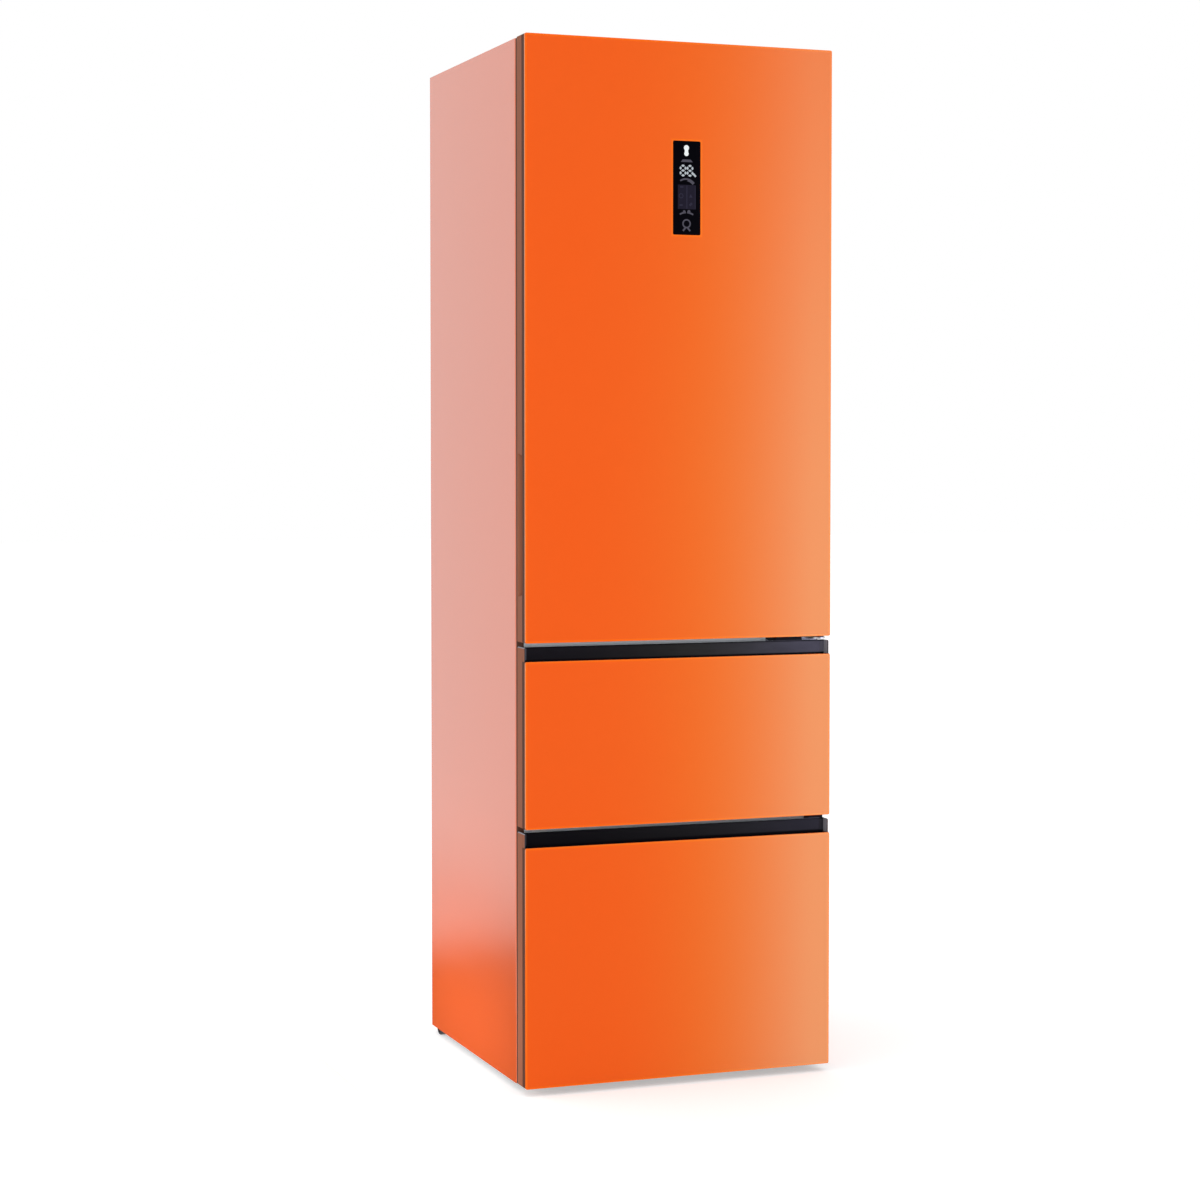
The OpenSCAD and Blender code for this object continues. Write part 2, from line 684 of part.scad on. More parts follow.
module hinge_covers() color("black") {
  top_lo = [axis_x - 86, y_cab + panel_t, z_tray];
  top_hi = [x_out - 3, y_cab + 62, z_cab_top - 1];
  difference() {
    intersection() {
      soft_block(top_lo - [0, 0, 10], top_hi, 4);
      block(top_lo, top_hi);
    }
    block(top_lo + [3, 3, -1], top_hi - [3, 3, 3]);
    block([axis_x - arm_in - 1, y_cab - 1, z_tray - 1], [x_out, y_cab + 10, z_tray + hinge_t + 3]);
  }
  plate_z = z_mid_top + (front_gap - hinge_t) / 2;
  along_z(z_mid_top + 1, z_door - 1) difference() {
    round_rect([x_out - 109, y_glass + 6], [x_out - 52, y_cab - flange_t], 3);
    for (x = flange_screws) translate([x, y_cab - flange_t - 6]) square([12, 14], center = true);
  }
  translate([axis_x, axis_y, plate_z + hinge_t]) difference() {
    cylinder(r = flat_half - 2, h = z_door - face_gap - plate_z - hinge_t);
    translate([0, 0, -1]) cylinder(r = pin_r + run_fit, h = front_gap);
  }
}

module screw(shank) {
  translate([0, 0, -shank]) cylinder(r = screw_r, h = shank + 0.5, $fn = 24);
  difference() {
    cylinder(r = screw_head_r, h = screw_head_h);
    for (a = [0, 90]) rotate(a) block([-3, -0.5, 1], [3, 0.5, screw_head_h + 1]);
  }
}

module cabinet_screws() color("gray") {
  for (p = top_screws) translate([p[0], p[1], z_tray + hinge_t]) screw(hinge_t);
  for (x = flange_screws) translate([x, y_cab - flange_t, z_partition]) rotate([90, 0, 0]) screw(flange_t);
  both_sides() for (z = back_screws)
    translate([x_out - flange_w / 2, y_back, z]) rotate([-90, 0, 0]) screw(panel_t);
}

// Fridge space
module ceiling_lamp() color("white")
  intersection() {
    soft_block([-lamp_w / 2, y_shelf + 10, fridge_z1 - 12], [lamp_w / 2, y_shelf + 66, fridge_z1 + 12], 6);
    block([-lamp_w, y_cab, fridge_z1 - 20], [lamp_w, y_back, fridge_z1]);
  }

module air_duct() {
  z0 = shelf_z(0) + 20;
  z1 = fridge_z1 - 30;
  y0 = fridge_rear - duct_t;
  slot_w = 70;
  slot_h = 6;
  color("white") difference() {
    intersection() {
      soft_block([-duct_w / 2, y0, z0], [duct_w / 2, fridge_rear + 12, z1], 8);
      block([-duct_w, y0 - 1, z0 - 1], [duct_w, fridge_rear, z1 + 1]);
    }
    for (i = [0:3], j = [0:2], s = [-1, 1])
      along_y(y0 - 1, y0 + duct_t - 4)
        translate([s * duct_w / 4, shelf_z(i) + 104 + j * 14])
          round_rect([-slot_w / 2, 0], [slot_w / 2, slot_h], slot_h / 2 - 0.1);
    for (x = [-16, 16]) block([x - 1, y0 - 1, z0 + 20], [x + 1, y0 + 1, z1 - 20]);
  }
}

module shelf_glass() color("lightcyan") for (i = [0:3])
  along_z(shelf_z(i), shelf_z(i) + shelf_t) round_rect([-shelf_half, y_shelf], [shelf_half, y_shelf_rear], 6);

module shelf_trims() color("whitesmoke") {
  drop = 4;
  for (i = [0:3]) along_x(-shelf_half + 7, shelf_half - 7) translate([0, shelf_z(i)]) {
    difference() {
      translate([y_shelf - 3, -drop]) round_rect([0, 0], [13, trim_h], 2);
      translate([y_shelf, 0]) square([20, shelf_t]);
    }
    difference() {
      translate([y_shelf_rear - 10, -drop]) round_rect([0, 0], [13, trim_h + 6], 2);
      translate([y_shelf_rear - 20, 0]) square([20, shelf_t]);
    }
  }
}

// The right one of the two, beside the middle
module crisper() {
  half = fridge_half - ledge_d - 2;
  middle = 2;
  y0 = y_bin_front + 46;
  z0 = fridge_z0 + face_gap;
  lip = 12;
  draft = 6;
  color("aliceblue") {
    tub([middle, y0, z0], [half, fridge_rear - 11, z0 + crisper_h], 12, draft, crisper_wall);
    along_x(middle + 16, half - 16) translate([y0 - lip, z0 + crisper_h - 26])
      difference() {
        round_rect([0, 0], [lip + 4, 26], 5);
        translate([4, -1]) square([lip - 3, 22]);
      }
  }
}

// Cold parts behind the freezer
module evaporator() color("silver") {
  z0 = freezer_step_z + 40;
  rows = 6;
  pitch = 34;
  ym = (y_cover + cover_t + freezer_rear) / 2 + 4;
  half = freezer_half - 40;
  fins = 16;
  for (i = [0:fins - 1])
    block([-half + 24 + i * (2 * half - 48) / (fins - 1) - 0.5, ym - 22, z0 - 12],
          [-half + 24 + i * (2 * half - 48) / (fins - 1) + 0.5, ym + 22, z0 + (rows - 1) * pitch + 12]);
  for (i = [0:rows - 1]) translate([-half, ym, z0 + i * pitch]) rotate([0, 90, 0]) cylinder(r = 4, h = 2 * half, $fn = 24);
  for (i = [0:rows - 2]) translate([(i % 2 == 0 ? 1 : -1) * half, ym, z0 + (i + 0.5) * pitch]) rotate([90, i % 2 == 0 ? 90 : -90, 0])
    rotate_extrude(angle = 180, $fn = 48) translate([pitch / 2, 0]) circle(4, $fn = 24);
  for (s = [-1, 1]) block([s * (half - 14) - 1, ym - 22, z0 - 12], [s * (half - 14) + 1, freezer_rear, z0 + rows * pitch]);
}

fan_z = freezer_z1 - fan_drop;
fan_y = y_cover + cover_t + 8;
module evaporator_cover() color("whitesmoke") {
  half = freezer_half - seam;
  motor_y = fan_y + 22;
  ring = fan_r + 8;
  difference() {
    along_y(y_cover, y_cover + cover_t) round_rect([-half, freezer_step_z + seam], [half, freezer_z1 - seam], freezer_r);
    for (k = [-5:5]) {
      zk = k * 10;
      w = sqrt(max(fan_r * fan_r - zk * zk, 1));
      along_y(y_cover - 1, y_cover + cover_t + 1) translate([-w, fan_z + zk - 3]) square([2 * w, 6]);
    }
    for (x = [-2:2]) along_y(y_cover - 1, y_cover + cover_t + 1)
      round_rect([x * 80 - 32, freezer_step_z + 14], [x * 80 + 32, freezer_step_z + 24], 4.5);
  }
  translate([0, 0, fan_z]) {
    along_y(y_cover + cover_t, fan_y + 20) difference() {
      circle(ring);
      circle(ring - 3);
    }
    for (a = [90, 210, 330]) rotate([0, a, 0])
      block([0, fan_y + 17, -3], [ring - 2, fan_y + 20, 3]);
    along_y(fan_y + 17, motor_y + 14) circle(20);
    along_y(fan_y + 4, fan_y + 18) circle(2, $fn = 24);
  }
}

module evaporator_fan() color("dimgray") translate([0, fan_y, fan_z]) {
  hub_r = 19;
  hub_h = 14;
  blades = 7;
  pitch = 32;
  chord = 26;
  difference() {
    union() {
      along_y(0, hub_h) circle(hub_r);
      for (i = [0:blades - 1]) rotate([0, i * 360 / blades, 0]) intersection() {
        translate([0, hub_h / 2, 0]) rotate([pitch, 0, 0]) block([hub_r - 5, -1, -chord / 2], [fan_r, 1, chord / 2]);
        along_y(-hub_h, 2 * hub_h) circle(fan_r - 1);
      }
    }
    along_y(1.5, hub_h + 1) circle(2 + run_fit, $fn = 24);
  }
}

// Levelling feet and rollers
module front_foot() color("black") {
  pad_h = foot_gap - 3;
  rotate_extrude() difference() {
    union() {
      square([pad_r - 3, pad_h]);
      translate([0, 0]) square([pad_r, pad_h - 3]);
      translate([pad_r - 3, pad_h - 3]) circle(3);
      square([stud_r, z_base_top - 3]);
    }
    translate([-pad_r, 0]) square([pad_r, z_base_top]);
  }
}

module rear_roller() color("dimgray") rotate([0, 90, 0]) difference() {
  rotate_extrude() difference() {
    translate([0, -roller_w / 2]) round_rect([-roller_r, 0], [roller_r, roller_w], 1.5);
    translate([-roller_r - 1, -roller_w]) square([roller_r + 1, 2 * roller_w]);
    for (s = [0, 1]) mirror([0, s]) translate([6, roller_w / 2 - 2]) square([roller_r - 10, 3]);
  }
  cylinder(r = axle_r + run_fit, h = 2 * roller_w, center = true);
}

// Telescopic rails: profiles in the plane across the rail, w measured from the liner wall inward
module rail_channel(w0, w1, half_h, lip) {
  translate([w0, -half_h]) square([rail_t, 2 * half_h]);
  for (s = [0, 1]) mirror([0, s]) {
    translate([w0, half_h - rail_t]) square([w1 - w0, rail_t]);
    translate([w1 - rail_t, half_h - rail_t - lip]) square([rail_t, lip + rail_t / 2]);
  }
}
outer_half = rail_h / 2;
slider_half = outer_half - rail_t - rail_step;
inner_half = slider_half - rail_t - rail_step;
outer_lip = rail_step - 0.6;
module on_wall(spec, l) both_sides()
  translate([freezer_half, 0, rail_z(spec)]) mirror([1, 0, 0]) along_y(y_rail, y_rail + l) children();

module cabinet_rails() color("silver")
  for (spec = [mid_spec, lower_spec]) on_wall(spec, rail_l) rail_channel(0, 10, outer_half, outer_lip);

module rail_sliders(spec) color("lightgray")
  on_wall(spec, rail_l) rail_channel(rail_t + rail_gap, 11, slider_half, outer_lip);

module drawer_rails(spec) color("gray") {
  on_wall(spec, rail_l) rail_channel(2 * (rail_t + rail_gap), rail_w, inner_half, 1);
  ledge_z = rail_z(spec) + z_rail_drop - 3 - 2;
  both_sides() {
    block([freezer_half - rail_w - 1.5, y_door, rail_z(spec) - inner_half],
          [freezer_half - rail_w + rail_t / 2, y_rail + rail_l, rail_z(spec) + z_rail_drop]);
    block([basket_half + 1, y_door + plateau_h, ledge_z], [freezer_half - rail_w, spec[5], ledge_z + 2]);
  }
}

// Fronts
module glass(z0, z1) along_y(y_face, y_glass) round_rect([-x_out, z0], [x_out, z1], front_r);

module door_glass() color("orangered") difference() {
  glass(z_door, z_top);
  along_y(y_face - 1, y_glass + 1) display_outline(seam);
}

module display_outline(grow)
  translate([display_x, z_top - display_drop - display_h / 2])
    round_rect([-display_w / 2 - grow, -display_h / 2 - grow], [display_w / 2 + grow, display_h / 2 + grow], 2.5 + grow);

module door_display() color("black") {
  along_y(y_face, y_face + display_t) display_outline(0);
}

// Outline inside the door frame, which the core fills
hinge_block = 44;
module door_inner() difference() {
  translate([-x_out + frame_w, z_door + frame_foot])
    square([2 * (x_out - frame_w), door_h - frame_foot - frame_head]);
  translate([x_out - hinge_block, z_door - 1]) square([hinge_block, hinge_block]);
}

// Shallow groove between the dark glass strip and the rest of the frame
module trim_groove(z0, z1) {
  cut = 0.6;
  along_y(y_glass + trim_d, y_glass + trim_d + cut) difference() {
    translate([-x_out - 1, z0 - 1]) square([body_w + 2, z1 - z0 + 2]);
    round_rect([-x_out + cut, z0 + cut], [x_out - cut, z1 - cut], front_r);
  }
}

module door_frame() color("rosybrown") difference() {
  along_y(y_glass, y_door) difference() {
    round_rect([-x_out, z_door], [x_out, z_top], front_r);
    door_inner();
  }
  // Pocket for the top hinge, and the bores for both pins
  block([pocket_x, y_glass - 1, pocket_z], [x_out + 1, y_door + 1, z_top + 1]);
  translate([axis_x, axis_y, z_tray - pin_l - 2]) cylinder(r = pin_r + run_fit, h = pin_l + 2);
  translate([axis_x, axis_y, z_door - 1]) cylinder(r = pin_r + run_fit, h = pin_l + 2);
  trim_groove(z_door, z_top);
  // Grip recess in the free side, undercut behind the front strip
  grip_y = y_glass + trim_d - 2;
  z0 = z_door + side_grip_z - side_grip_l / 2;
  z1 = z0 + side_grip_l;
  slant = 5;
  intersection() {
    along_z(z0, z1) polygon([[-x_out - 1, grip_y], [-x_out + side_grip_d, grip_y - 5],
                             [-x_out + side_grip_d, y_door - 14], [-x_out - 1, y_door - 4]]);
    along_x(-x_out - 2, -x_out + side_grip_d + 1)
      polygon([[grip_y - 6, z0 + slant], [y_door - 4, z0], [y_door - 4, z1], [grip_y - 6, z1 - slant]]);
  }
}

module door_core() color("khaki") {
  difference() {
    along_y(y_glass, y_door - liner_t) door_inner();
    along_y(y_glass - 1, y_face + display_t + seam) display_outline(seam);
  }
  along_y(y_door - liner_t - 0.5, y_door + dyke_h - liner_t) rim_core(0.3);
}

// Filling of the raised rim, smaller than its mould by the clearance c
module rim_core(c) {
  inset = [liner_t + c, liner_t + c];
  inner = [dyke_w - liner_t - c, dyke_w - liner_t - c];
  difference() {
    round_rect([-dyke_half, dyke_z0] + inset, [dyke_half, dyke_z1] - inset, rim_r + 4);
    round_rect([-dyke_half, dyke_z0] + inner, [dyke_half, dyke_z1] - inner, rim_r);
  }
}

module door_liner() color("whitesmoke") {
  rim = [dyke_w, dyke_w];
  difference() {
    union() {
      along_y(y_door - liner_t, y_door) door_inner();
      along_y(y_door - liner_t, y_door + dyke_h) difference() {
        round_rect([-dyke_half, dyke_z0], [dyke_half, dyke_z1], rim_r + 6);
        round_rect([-dyke_half, dyke_z0] + rim, [dyke_half, dyke_z1] - rim, rim_r - liner_t);
      }
    }
    along_y(y_door - liner_t - 1, y_door + dyke_h - liner_t) rim_core(0);
  }
  // Bosses that carry the door shelves
  both_sides() for (z = bin_z)
    soft_block([bin_half - 12, y_door - liner_t / 2, z - boss_h], [bin_half + 1, y_door + dyke_h - 10, z], 2);
}

module gasket(z0, z1) color("gainsboro") {
  lo = [-x_out + gasket_in, z0];
  hi = [x_out - gasket_in, z1];
  depth = gasket_gap - seal_gap;
  shrink = [[0, 0, 0.25], [4, 0.25, 0.5], [2, 0.5, 1]];
  for (s = shrink)
    along_y(y_door + s[1] * depth, y_door + s[2] * depth)
      round_ring(lo + [s[0], s[0]], hi - [s[0], s[0]], 6, gasket_w - 2 * s[0]);
}

module door_bin(i) color("aliceblue") {
  h = bin_heights[i];
  wall = [bin_wall, bin_wall];
  lo = [-bin_half, y_bin];
  hi = [bin_half, y_bin_front];
  r = 22;
  difference() {
    along_z(bin_z[i], bin_z[i] + h) round_rect(lo, hi, r);
    along_z(bin_z[i] + bin_wall, bin_z[i] + h + 1) round_rect(lo + wall, hi - wall, r - bin_wall);
  }
  // Bead along the rim and two ribs on the front wall
  half = bin_half - r - 2;
  along_x(-half, half) translate([y_bin_front - bin_wall / 2, bin_z[i] + h - 6]) round_rect([0, 0], [bin_wall / 2 + 1.5, 6], 0.6);
  for (share = [0.35, 0.55])
    block([-half, y_bin_front - bin_wall / 2, bin_z[i] + share * h], [half, y_bin_front + 0.8, bin_z[i] + share * h + 2.5]);
}

module dairy_box() color("aliceblue") {
  door_bin(3);
  z1 = bin_z[3] + dairy_h;
  both_sides() difference() {
    block([bin_half - 3, y_bin + 1, z1 - 26], [bin_half, y_bin + 14, z1 + 12]);
    translate([bin_half - 4, lid_axis_y, lid_axis_z]) rotate([0, 90, 0]) cylinder(r = lid_pin_r, h = 5);
  }
}

module dairy_lid() color("lightblue") {
  half = bin_half - 3.5;
  z0 = bin_z[3] + dairy_h + 0.5;
  along_x(-half, half) {
    translate([lid_axis_y, lid_axis_z]) circle(lid_pin_r + 1.5);
    translate([lid_axis_y, z0]) square([y_bin_front - lid_axis_y + 3, lid_t]);
    translate([y_bin_front + 2, z0 - 10]) square([lid_t, 10 + lid_t]);
  }
  translate([-bin_half + 0.3, lid_axis_y, lid_axis_z]) rotate([0, 90, 0])
    cylinder(r = lid_pin_r - run_fit, h = 2 * bin_half - 0.6);
}

// Drawer fronts
y_channel = y_glass + lip_t + channel_w;   // rear side of the finger channel
y_grip = y_channel + grip_t;               // back of the grip's wall
module drawer_frame(spec) color("rosybrown") {
  zt = spec[2];
  zc = spec[1] - channel_d - grip_t;
  difference() {
    along_y(y_glass, y_door) round_rect([-x_out, spec[0]], [x_out, zt], front_r);
    block([-x_out + frame_w, y_glass - 1, spec[0] + frame_foot], [x_out - frame_w, y_door + 1, zc - 6]);
    block([-x_out + frame_w, y_grip, spec[0] + frame_foot], [x_out - frame_w, y_door + 1, zt + 1]);
    block([-x_out + cap_t, y_glass - 1, zc], [x_out - cap_t, y_grip, zt + 1]);
    block([-x_out + cap_t, y_glass - 1, zt - grip_t], [x_out - cap_t, y_door + 1, zt + 1]);
    block([-x_out - 1, y_glass - 1, spec[1]], [x_out + 1, y_glass + cap_set, zt + 1]);
    trim_groove(spec[0], zt);
  }
}

module drawer_grip(spec) color("black")
  along_x(-x_out + cap_t, x_out - cap_t) {
    zg = spec[1];
    zt = spec[2];
    zc = zg - channel_d - grip_t;
    r = channel_w / 2;
    difference() {
      union() {
        translate([y_glass, zc]) square([lip_t, zg - zc]);
        translate([y_glass, zc]) square([y_grip - y_glass, grip_t + r]);
        translate([y_channel, zc]) square([grip_t, zt - zc]);
      }
      translate([y_glass + lip_t + r, zc + grip_t + r]) circle(r);
      translate([y_glass + lip_t, zc + grip_t + r]) square([channel_w, zt]);
    }
    translate([y_channel, zt - grip_t]) square([y_door - y_channel, grip_t]);
  }

// Rubber stop on top of the lower grip, at the right
module grip_stop() color("black")
  along_z(z_lower_top, z_lower_top + front_gap - 1) round_rect([x_out - 34, y_channel], [x_out - 3, y_door - 4], 2);

module drawer_liner(spec) color("whitesmoke") {
  zc = spec[1] - channel_d - grip_t;
  half = freezer_half - rail_w - 2;
  block([-x_out + frame_w, y_glass, spec[0] + frame_foot], [x_out - frame_w, y_door, zc - 6]);
  block([-x_out + frame_w, y_grip, zc - 7], [x_out - frame_w, y_door, spec[2] - grip_t]);
  lo = [-half, max(spec[0], freezer_z0) + (spec[0] > freezer_z0 ? crossbar_h / 2 + 4 : 6)];
  hi = [half, spec[2] - crossbar_h / 2 - 4];
  along_y(y_door - 1, y_door + plateau_h) round_rect(lo, hi, 16);
}

module drawer_basket(spec) color("aliceblue") {
  top = spec[3] + spec[4];
  difference() {
    tub([-basket_half, y_basket, spec[3]], [basket_half, spec[5], top], 14, 10, basket_wall);
    basket_slots(spec);
  }
  along_z(top - 3, top) difference() {
    round_rect([-basket_half - 9, y_basket], [basket_half + 9, spec[5]], 8);
    round_rect([-basket_half + 1, y_basket + 1], [basket_half - 1, spec[5] - 1], 13);
  }
}

// Row of air slots through both side walls of a basket
module basket_slots(spec) {
  count = 6;
  slot = [24, 7];
  step = (spec[5] - y_basket - 60) / (count - 1);
  for (i = [0:count - 1]) along_x(-basket_half - 1, basket_half + 1)
    translate([y_basket + 30 + i * step - slot[0] / 2, spec[3] + spec[4] * 0.55]) round_rect([0, 0], slot, 3);
}

// Shallow tray that slides on the rim of the middle basket
module mid_tray() color("aliceblue") {
  top = mid_floor + mid_basket_h + face_gap + 2;
  half = basket_half - basket_wall - 3;
  y0 = y_basket + basket_wall + 4;
  tub([-half, y0, top - tray_h], [half, y0 + tray_d, top], 12, 8, 2);
  along_z(top - 2, top) difference() {
    round_rect([-half - 9, y0], [half + 9, y0 + tray_d], 6);
    round_rect([-half + 1, y0 + 1], [half - 1, y0 + tray_d - 1], 11);
  }
}

mirror([1, 0, 0]) side_panel();  // side_panel_left
side_panel();  // side_panel_right
top_panel();
back_panel();
base_frame();
insulation_foam();
fridge_liner();
freezer_liner();
front_mullions();
compressor();
drip_tray();
refrigerant_pipes();
power_inlet();
wall_spacers();
top_hinge();
middle_hinge();
hinge_covers();
cabinet_screws();
ceiling_lamp();
air_duct();
shelf_glass();
shelf_trims();
evaporator();
evaporator_cover();
evaporator_fan();
cabinet_rails();
translate([-roller_x, roller_y, roller_r]) rear_roller();  // rear_roller_left
translate([roller_x, roller_y, roller_r]) rear_roller();  // rear_roller_right
translate([-foot_x, foot_y, 0]) front_foot();  // front_foot_left
translate([foot_x, foot_y, 0]) front_foot();  // front_foot_right
mirror([1, 0, 0]) crisper();  // crisper_left
crisper();  // crisper_right
door_glass();
door_display();
door_frame();
door_core();
door_liner();
gasket(z_door + gasket_in, z_tray - gasket_in);  // door_gasket
door_bin(0);  // door_bin_1
door_bin(1);  // door_bin_2
door_bin(2);  // door_bin_3
dairy_box();
dairy_lid();
color("orangered") glass(z_mid, z_mid_glass);  // mid_glass
drawer_frame(mid_spec);  // mid_frame
drawer_grip(mid_spec);  // mid_grip
drawer_liner(mid_spec);  // mid_liner
gasket(z_mid + gasket_in, z_mid_top - gasket_in);  // mid_gasket
drawer_basket(mid_spec);  // mid_basket
mid_tray();
drawer_rails(mid_spec);  // mid_rails
rail_sliders(mid_spec);  // mid_rail_sliders
color("orangered") glass(z_lower, z_lower_glass);  // lower_glass
drawer_frame(lower_spec);  // lower_frame
union() {  // lower_grip
  drawer_grip(lower_spec);
  grip_stop();
}
drawer_liner(lower_spec);  // lower_liner
gasket(z_lower + foot_gap + 2, z_lower_top - gasket_in);  // lower_gasket
drawer_basket(lower_spec);  // lower_basket
drawer_rails(lower_spec);  // lower_rails
rail_sliders(lower_spec);  // lower_rail_sliders
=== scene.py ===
import json
import math

import bmesh
import bpy
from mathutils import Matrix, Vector


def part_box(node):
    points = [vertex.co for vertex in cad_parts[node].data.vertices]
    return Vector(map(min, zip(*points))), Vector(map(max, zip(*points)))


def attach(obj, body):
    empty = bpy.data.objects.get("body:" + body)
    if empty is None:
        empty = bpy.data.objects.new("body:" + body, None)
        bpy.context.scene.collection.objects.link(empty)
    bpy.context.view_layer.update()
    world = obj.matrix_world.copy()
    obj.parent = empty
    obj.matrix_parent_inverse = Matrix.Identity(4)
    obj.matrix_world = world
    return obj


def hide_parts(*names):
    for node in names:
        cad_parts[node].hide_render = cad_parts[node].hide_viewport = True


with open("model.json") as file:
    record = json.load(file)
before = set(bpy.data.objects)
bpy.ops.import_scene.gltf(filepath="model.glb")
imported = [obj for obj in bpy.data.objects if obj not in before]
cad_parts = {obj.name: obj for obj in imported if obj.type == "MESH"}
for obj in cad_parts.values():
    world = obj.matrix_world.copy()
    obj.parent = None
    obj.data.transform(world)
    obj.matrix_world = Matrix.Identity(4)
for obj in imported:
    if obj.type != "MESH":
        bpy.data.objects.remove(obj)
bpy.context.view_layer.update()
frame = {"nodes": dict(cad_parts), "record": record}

mm = 0.001
black = (0.0, 0.0, 0.0)
white = (1.0, 1.0, 1.0)


# Shader maths

def operator(operation, reflected=False):
    """Method that adds a Math node with two values, swapped in its reflected form."""
    def method(self, other):
        return self.maths(operation, *((other, self) if reflected else (self, other)))
    return method


class Field:
    """A number, colour or direction that changes over a surface, with Python's operators on it."""

    def __init__(self, nodes, socket):
        self.nodes = nodes
        self.socket = socket

    def maths(self, operation, *values):
        return self.nodes.node("ShaderNodeMath", {"operation": operation}, dict(enumerate(values)))

    __add__, __radd__ = operator("ADD"), operator("ADD", reflected=True)
    __sub__, __rsub__ = operator("SUBTRACT"), operator("SUBTRACT", reflected=True)
    __mul__, __rmul__ = operator("MULTIPLY"), operator("MULTIPLY", reflected=True)
    __truediv__, __rtruediv__ = operator("DIVIDE"), operator("DIVIDE", reflected=True)
    __gt__, __lt__ = operator("GREATER_THAN"), operator("LESS_THAN")
    least, most = operator("MINIMUM"), operator("MAXIMUM")

    def size(self):
        """This without its sign."""
        return self.maths("ABSOLUTE", self)

    def ripple(self, pitch):
        """Sine wave with one crest to each pitch."""
        return self.maths("SINE", self * (2 * math.pi / pitch))

    def between(self, low, high):
        """0 at low, 1 at high, smooth in between."""
        return self.nodes.node("ShaderNodeMapRange", {"interpolation_type": "SMOOTHSTEP"},
                               {"Value": self, "From Min": low, "From Max": high})

    def span(self, low, high):
        """Low where this is 0, high where it is 1."""
        return self * (high - low) + low


class Nodes:
    """Nodes of a material or of the world."""

    def __init__(self, tree):
        self.tree = tree
        tree.nodes.clear()

    def node(self, kind, settings=None, values=None, out=0):
        """Any node: its type, its settings, then the values or links of its sockets."""
        made = self.tree.nodes.new(kind)
        for key, value in (settings or {}).items():
            setattr(made, key, value)
        for key, value in (values or {}).items():
            self.feed(made.inputs[key], value)
        return Field(self, made.outputs[out])

    def feed(self, socket, value):
        if isinstance(value, Field):
            self.tree.links.new(value.socket, socket)
        elif isinstance(value, tuple) and len(value) == 3 and len(socket.default_value) == 4:
            socket.default_value = (*value, 1.0)
        else:
            socket.default_value = value

    def mix_shaders(self, share, first, second):
        return self.node("ShaderNodeMixShader", values={0: share, 1: first, 2: second})

    def end(self, shader, kind="ShaderNodeOutputMaterial"):
        self.feed(self.tree.nodes.new(kind).inputs["Surface"], shader)


class Finish(Nodes):
    """One material."""

    socket_names = {
        "color": "Base Color", "rough": "Roughness", "metal": "Metallic", "coat": "Coat Weight",
        "coat_rough": "Coat Roughness", "ior": "IOR", "clear": "Transmission Weight",
        "glow": "Emission Strength", "glow_color": "Emission Color", "normal": "Normal",
        "gloss": "Specular IOR Level", "tint": "Specular Tint"}

    def __init__(self, name):
        self.material = bpy.data.materials.new(name)
        self.material.use_nodes = True
        super().__init__(self.material.node_tree)

    def place(self):
        """Position on the object, in metres."""
        return self.node("ShaderNodeTexCoord", out="Object")

    def axes(self, letters="xyz"):
        """Position along each of the axes, in metres."""
        split = self.node("ShaderNodeSeparateXYZ", values={"Vector": self.place()}).socket.node
        return [Field(self, split.outputs[letter.upper()]) for letter in letters]

    def stretched(self, scale):
        """Position, with a pattern made finer along each axis by its scale."""
        return self.node("ShaderNodeVectorMath", {"operation": "MULTIPLY"}, {0: self.place(), 1: scale})

    def noise(self, per_metre, detail=2.0, rough=0.5, at=None):
        """Cloudy noise, with about so many spots to a metre."""
        return self.node("ShaderNodeTexNoise", values={
            "Vector": at or self.place(), "Scale": per_metre, "Detail": detail, "Roughness": rough})

    def blend(self, share, first, second):
        """Colour between two colours."""
        return self.node("ShaderNodeMix", {"data_type": "RGBA"}, {0: share, 6: first, 7: second}, 2)

    def bump(self, height, depth, strength):
        return self.node("ShaderNodeBump", values={
            "Height": height, "Distance": depth, "Strength": strength})

    def emit(self, color, strength):
        return self.node("ShaderNodeEmission", values={"Color": color, "Strength": strength})

    def shade(self, **sockets):
        return self.end(self.node("ShaderNodeBsdfPrincipled", values={
            self.socket_names[key]: value for key, value in sockets.items()}))

    def mottled(self, spots, colors, rough, **sockets):
        """Shader whose colour and roughness follow the same spots."""
        return self.shade(color=self.blend(spots, *colors), rough=spots.span(*rough), **sockets)

    def end(self, shader):
        super().end(shader)
        return self.material


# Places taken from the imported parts, in metres
glass_panels = {"door_glass": "fridge_door", "mid_glass": "mid_drawer", "lower_glass": "lower_drawer"}
glass_low, glass_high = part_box("door_glass")
display_low, display_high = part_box("door_display")
window_middle = (display_low + display_high) / 2
window_half = (display_high - display_low) / 2
face_y = glass_low[1]
half_width = glass_high[0]
glass_back = glass_high[1]
cabinet_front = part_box("front_mullions")[0][1]
# Lower and upper edge of each grip band
bands = [(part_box(name + "_glass")[1][2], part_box(name + "_frame")[1][2]) for name in ("mid", "lower")]


# Finishes

